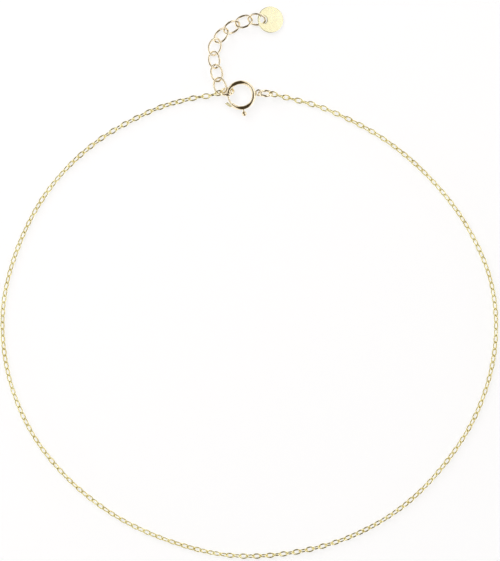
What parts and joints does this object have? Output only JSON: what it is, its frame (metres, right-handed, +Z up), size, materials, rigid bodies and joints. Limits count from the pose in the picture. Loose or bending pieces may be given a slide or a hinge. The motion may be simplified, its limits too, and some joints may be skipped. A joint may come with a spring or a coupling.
{
  "type": "chain anklet",
  "caption": "Thin gold cable-chain anklet lying as an open loop, closed by a spring ring clasp, with a short extender of oval links ending in a plain round tag.",
  "frame": {"origin": "Centre of the part's box in X and Y, on the surface the anklet lies on.", "axes": "+Z up off the surface; +Y from the middle of the loop towards the clasp and the extender; +X to the right, so the chain's left end and the extender are on the clasp's -X side."},
  "size_m": [0.0839, 0.0928, 0.0024],
  "materials": {
    "chain_gold": "polished",
    "link_gold": "polished",
    "clasp_gold": "polished",
    "tag_gold": "polished"
  },
  "bodies": {
    "anklet": {"chain": "chain_gold", "chain_link_left_1": "chain_gold", "chain_link_left_2": "chain_gold", "chain_link_right_1": "chain_gold", "chain_link_right_2": "chain_gold", "clasp_ring": "clasp_gold", "clasp_jump_ring": "link_gold", "end_jump_ring": "link_gold", "extender_link_1": "link_gold", "extender_link_2": "link_gold", "extender_link_3": "link_gold", "extender_link_4": "link_gold", "extender_link_5": "link_gold", "extender_link_6": "link_gold", "extender_link_7": "link_gold", "extender_link_8": "link_gold", "end_tag": "tag_gold"},
    "trigger": {"clasp_trigger": "clasp_gold"}
  },
  "joints": [
    {"name": "trigger_turn", "type": "hinge", "parent": "anklet", "child": "trigger", "pos_m": [-0.00143, 0.03111, 0.00105], "axis": [0, 0, 1], "range_deg": [0, 45], "stiffness_Nm_per_rad": 0.001, "springref_deg": -17.19}
  ]
}
